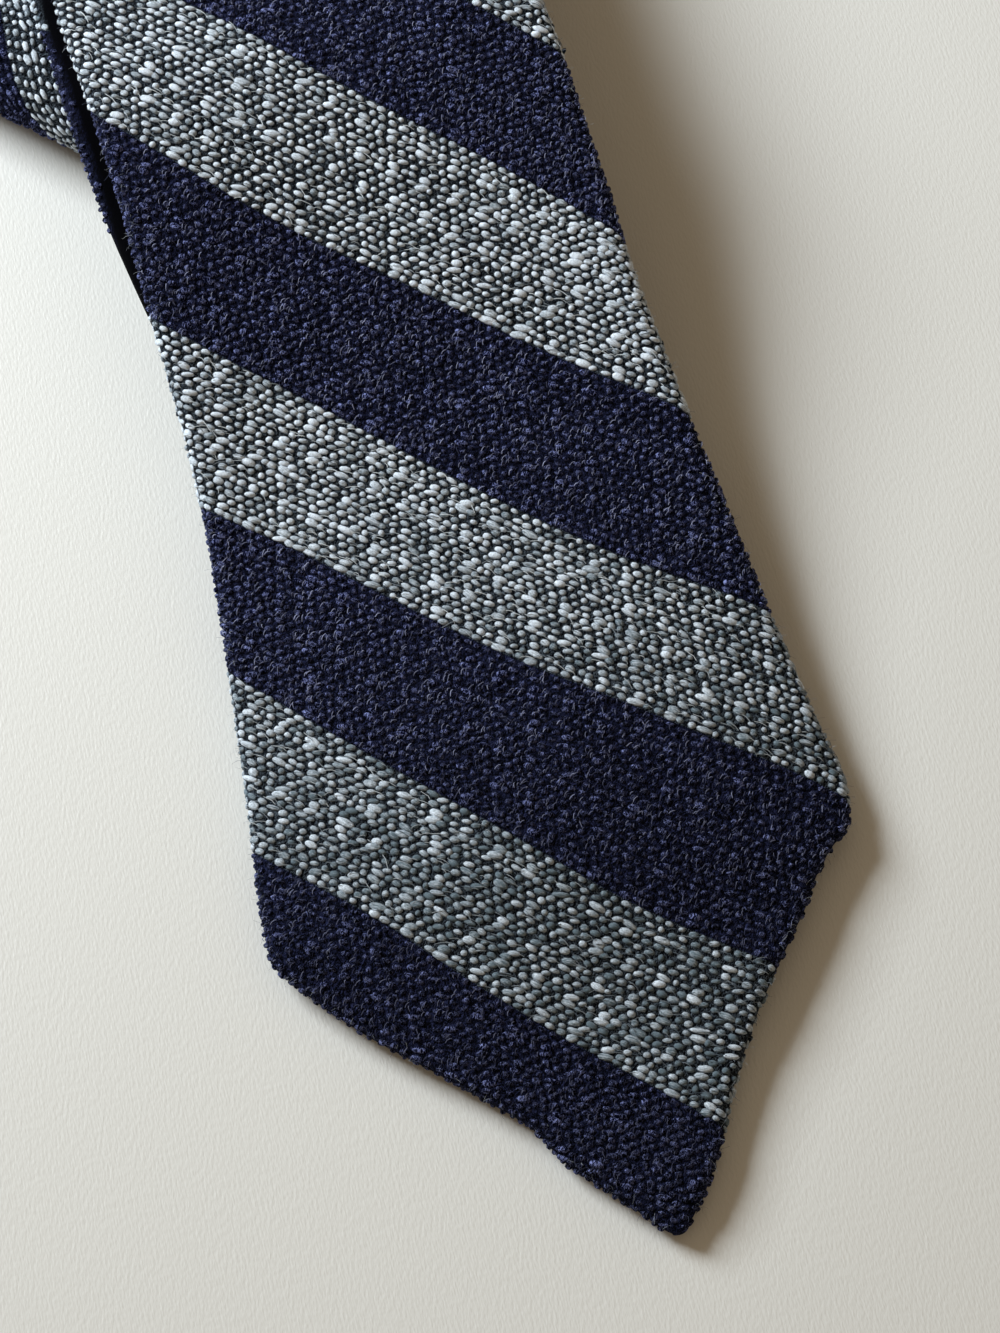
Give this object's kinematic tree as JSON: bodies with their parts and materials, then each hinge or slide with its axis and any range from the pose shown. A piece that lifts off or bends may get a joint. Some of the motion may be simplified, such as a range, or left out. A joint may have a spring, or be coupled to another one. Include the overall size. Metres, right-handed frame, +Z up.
{
  "type": "necktie",
  "caption": "Wide pointed tie in diagonally striped, nubby wool, folded in four and lying with its wide end on top.",
  "frame": {"origin": "middle of the footprint, on the surface that the tie lies on", "axes": "+Y back along the wide end, away from its point; +Z up"},
  "size_m": [0.1058, 0.4666, 0.0311],
  "materials": {
    "striped_wool": "nubby wool, navy and mixed grey stripes"
  },
  "bodies": {
    "root": {"front_blade": "striped_wool", "neck_band": "striped_wool", "tail_blade": "striped_wool"}
  },
  "joints": []
}
